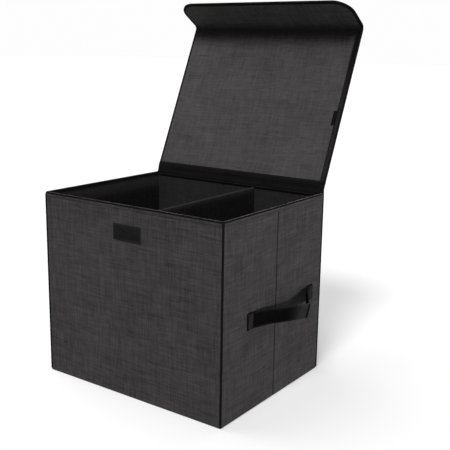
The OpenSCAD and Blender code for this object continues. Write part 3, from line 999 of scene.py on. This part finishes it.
def makeTag():
    look = tagLook
    middle, half = (look["low"] + look["high"]) / 2, (look["high"] - look["low"]) / 2
    us = spread(-look["wide"] / 2, look["wide"] / 2, 0.8)
    vs = edgeToEdge(half, 1.6, (0.3, 0.8))

    def onTag(u, v, n):
        return onLid(look["x"] + u, middle + v, -n)

    def curl(u, v):
        return 0.3 + 0.9 * smooth(0, look["wide"] / 2, -u) ** 2 + 0.1 * wobble(u, v, 9, 91)

    def face(u, v):
        return curl(u, v) + look["thick"]

    piece = sheetPiece("lidTag", crossed(us, vs), onTag, face, curl, "binding",
                       lambda u, v: 0.5 * fade(half - abs(v), 1.2))
    for v in (1.3 - half, half - 1.3):
        places = ((onTag(u, v, face(u, v)), onTag(u, v, face(u, v) + 1)) for u in us)
        stitch("tag", seamLine(places), {"pitch": 1.9, "long": 1.4, "thick": 0.3})
    dressed(piece, "lid", "binding", "lid_tag")


makeTag()
makeStitches("tag", "lid", "binding")
print("tag")


# carrying straps and their tabs

strapLook = {
    "start": -92, "height": 168, "wide": 30, "thick": 2.5, "bow": 40, "peak": 138, "long": 222,
    "flatEnd": 19.4, "turn": 9, "droop": 12, "tab": 17, "tabOver": 0.8, "tabSeam": 2.3, "paintedHighlightAt": 155,
}
strapThread = {"pitch": 3.3, "long": 2.5, "thick": 0.5}
strapMiddle = strapLook["thick"] / 2  # how far out the strap's middle lies where it is sewn down


def strapLine():  # (out, along) marks on the strap's middle line, with round turns
    look, middle = strapLook, strapMiddle
    corners = [(middle, 0), (middle, look["flatEnd"]), (look["bow"], look["peak"]),
               (middle, look["long"] - look["flatEnd"]), (middle, look["long"])]
    radii = (0, 16, look["turn"], 14, 0)
    marks = []
    for k, (corner, radius) in enumerate(zip(corners, radii)):
        if not radius:
            marks.append(corner)
            continue
        here = Vector(corner)
        back, ahead = [(Vector(corners[k + side]) - here).normalized() for side in (-1, 1)]
        half = back.angle(ahead) / 2
        reach = radius / math.tan(half)
        centre = here + (back + ahead).normalized() * radius / math.sin(half)
        first, last = here + back * reach - centre, here + ahead * reach - centre
        sweep = first.angle_signed(last)
        for m in range(11):
            c, s = math.cos(-sweep * m / 10), math.sin(-sweep * m / 10)
            marks.append((centre.x + first.x * c - first.y * s, centre.y + first.x * s + first.y * c))
    return curveThrough(marks, 76)


def makeStrap(side, sx):
    look, line = strapLook, strapLine()
    wide, half = look["wide"] / 2, strapMiddle
    seam = wide - 2.4
    quarter = [(4, half + 0.15), (wide - 3.4, half + 0.05), (seam, half - 0.35), (wide - 1.4, half),
               (wide - 0.3, 0.85), (wide, 0.3)]
    outline = [(-a, n) for a, n in reversed(quarter)] + quarter
    outline += [(a, -n) for a, n in reversed(outline)]

    def place(station, a, n):
        length, (out, along), (dOut, dAlong) = station
        free = smooth(2.5, 24, out)
        angle = math.radians(look["droop"]) * free
        belly = 0.5 * free * wobble(length, a * 0.6, 24, 95 + sx)
        across = a + 0.25 * wobble(length, 0, 30, 96)
        o = out + dAlong * (n + belly)
        y = along - dOut * (n + belly)
        lean = o - half  # the free part hangs a little below its ends
        x = half + lean * math.cos(angle) + across * math.sin(angle)
        z = across * math.cos(angle) - lean * math.sin(angle)
        return (sx * (rimLook["halfX"] + x), look["start"] + y, look["height"] + z)

    def wearAndPaintedShading(station, a, n):  # worn at the edges, and paler on the fold, a painted highlight where the side light falls
        return 0.4 * smooth(wide - 1.5, wide, abs(a)) + 1.1 * dent(station[0] - look["paintedHighlightAt"], 20) * smooth(-1, 0.4, n)

    piece = sweepPiece(side + "Strap", line, outline, place, "strap", wearAndPaintedShading=wearAndPaintedShading)
    near, far = [(sx * out, 0, look["height"] * mm) for out in (0.2065, 0.2175)]
    overWall = ("case", side + "_handle", near, far)
    for a in (-seam, seam):
        for face in (1, -1):
            places = ((place(station, a, face * (half - 0.3)), place(station, a, face * (half + 0.7)))
                      for station in line[8:-7])
            stitch(side + "Strap", seamLine(places), strapThread)
    makeStitches(side + "Strap", overWall, "strap")
    dressed(piece, overWall, "strap", side + "_strap", side + "_strap_ends")


def makeTab(side, end, sx):
    look = strapLook
    halfU, halfV = look["tab"] / 2, look["wide"] / 2 + look["tabOver"]
    middle = look["start"] + (halfU if end == "front" else look["long"] - halfU)
    leaving = 1 if end == "front" else -1  # the strap leaves on this side

    def onTab(u, v, n):
        return (sx * (rimLook["halfX"] + n), middle + u, look["height"] + v)

    def edge(u, v):
        return rimDistance(u, v, halfU, halfV)

    def lift(u, v):
        overStrap = (1 - smooth(look["wide"] / 2 - 1.2, halfV - 0.2, abs(v))) * smooth(0, 3.4, u * leaving + halfU)
        h = 1.05 + 2.45 * overStrap - 0.35 * roundOff(edge(u, v), 1) + 0.12 * wobble(u, v, 6, 97 + sx)
        return h - 0.25 * dent(edge(u, v) - look["tabSeam"], 0.6)

    piece = sheetPiece(side + end.capitalize() + "Tab", patchGrid(look["tab"], halfV * 2, 1.6, 1.1), onTab, lift,
                       lambda u, v: max(0.05, lift(u, v) - 1.15), "strap",
                       lambda u, v: 0.75 * smooth(1.4, 3, edge(u, v)), (5000, 0))  # paler inside its folded edge
    x, y = halfU - look["tabSeam"], halfV - 3.6
    for ends in boxSides(x, y) + [((-x, -y), (x, y)), ((x, -y), (-x, y))]:
        marks = marksBetween(*ends, 14)
        stitch("case", [(onTab(u, v, lift(u, v) - 0.05), (sx, 0, 0)) for u, v in marks], strapThread)
    dressed(piece, "case", "strap", f"{side}_{end}_tab")


for side, sx in (("left", -1), ("right", 1)):
    makeStrap(side, sx)
    for end in ("front", "rear"):
        makeTab(side, end, sx)
makeStitches("case", "case", "binding")
print("straps and tabs")


# floor, light and camera

stageLook = {"floor": 0.88, "bounce": 0.44, "lift": 0.27, "background": 0.985, "sky": 0.1}


def makeStage():
    mesh = bpy.data.meshes.new("floor")
    shape = bmesh.new()
    bmesh.ops.create_grid(shape, x_segments=8, y_segments=8, size=30)
    shape.to_mesh(mesh)
    shape.free()
    floor = bpy.data.objects.new("floor", mesh)
    floor.location = (0, 0, -0.0004)
    bpy.context.scene.collection.objects.link(floor)
    f = Finish(bpy.data.materials.new("pale floor"))
    seen = f.node("ShaderNodeLightPath", out="Is Camera Ray")
    white = f.node("ShaderNodeEmission", None, {"Color": (1, 1, 1, 1), "Strength": 1})
    pale, plain = [f.node("ShaderNodeBsdfDiffuse", None, {"Color": (level, level, level, 1)})
                   for level in (stageLook["floor"], stageLook["bounce"])]
    lifted = f.node("ShaderNodeMixShader", None, {0: stageLook["lift"], 1: pale, 2: white})
    mesh.materials.append(f.shown(f.node("ShaderNodeMixShader", None, {0: seen, 1: plain, 2: lifted})))

    bpy.context.scene.world = bpy.data.worlds.new("studio")
    f = Finish(bpy.context.scene.world)
    seen = f.node("ShaderNodeLightPath", out="Is Camera Ray")
    sky, background = [f.node("ShaderNodeBackground", None, {"Color": (1, 1, 1, 1), "Strength": stageLook[name]})
                       for name in ("sky", "background")]
    f.shown(f.node("ShaderNodeMixShader", None, {0: seen, 1: sky, 2: background}), "World")


lamps = {  # turn and height in degrees; level 1 shows a colour as it is written
    "high": {"turn": 14, "height": 54, "level": 0.81, "soft": 18},
    "side": {"turn": 88, "height": 3, "level": 0.54, "soft": 10},
    "left": {"turn": -88, "height": 60, "level": 0.44, "soft": 44},
    "rear": {"turn": 178, "height": 14, "level": 0.4, "soft": 24},
    "fill": {"turn": -92, "height": 5, "level": 0.3, "soft": 16},
}


def makeLamp(name, look):
    light = bpy.data.lights.new(name, "SUN")
    light.energy, light.angle = look["level"] * math.pi, math.radians(look["soft"])
    turn, height = math.radians(look["turn"]), math.radians(look["height"])
    towards = Vector((math.sin(turn) * math.cos(height), -math.cos(turn) * math.cos(height), math.sin(height)))
    lamp = bpy.data.objects.new(name, light)
    lamp.location = towards * 3
    lamp.rotation_euler = towards.to_track_quat("Z", "Y").to_euler()
    bpy.context.scene.collection.objects.link(lamp)


cameraLook = {"at": (0.8933, -1.1312, 0.6228), "turn": (77.0956, -0.9081, 35.5434), "lens": 62.0495}


def makeCamera():
    camera = bpy.data.objects.new("camera", bpy.data.cameras.new("camera"))
    camera.location = cameraLook["at"]
    camera.rotation_euler = [math.radians(a) for a in cameraLook["turn"]]
    camera.data.lens, camera.data.sensor_width = cameraLook["lens"], 36
    camera.data.clip_start, camera.data.clip_end = 0.05, 60
    bpy.context.scene.collection.objects.link(camera)
    bpy.context.scene.camera = camera


makeStage()
for name, look in lamps.items():
    makeLamp(name, look)
makeCamera()
bpy.context.scene.view_settings.view_transform = "Standard"
print("stage, lamps and camera")

bpy.context.view_layer.update()
